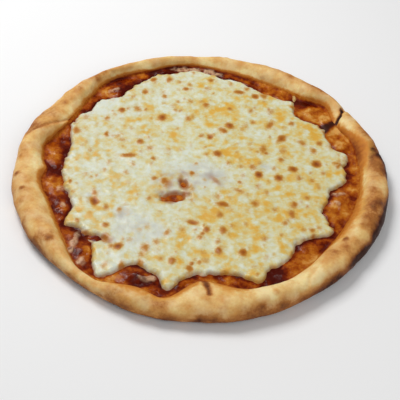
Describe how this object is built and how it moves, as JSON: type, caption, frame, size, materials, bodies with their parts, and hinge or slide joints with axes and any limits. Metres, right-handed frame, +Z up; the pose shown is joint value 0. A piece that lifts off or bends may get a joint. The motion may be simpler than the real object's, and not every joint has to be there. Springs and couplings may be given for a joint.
{
  "type": "margherita pizza",
  "caption": "Whole baked pizza: a flat round of dough with a puffed rim, tomato sauce and a melted sheet of browned cheese.",
  "frame": {"origin": "middle of the flat underside, on the surface the pizza rests on", "axes": "+Z up through the topping; +X to the right and +Y away from the viewer of the side shown"},
  "size_m": [0.3008, 0.2998, 0.0195],
  "materials": {
    "crust": "baked golden dough, dry and matte with darker toasted spots",
    "sauce": "baked tomato sauce, wet and lumpy",
    "cheese": "melted mozzarella, soft sheen with golden browned spots"
  },
  "bodies": {
    "root": {"crust": "crust", "sauce": "sauce", "cheese": "cheese"}
  },
  "joints": []
}
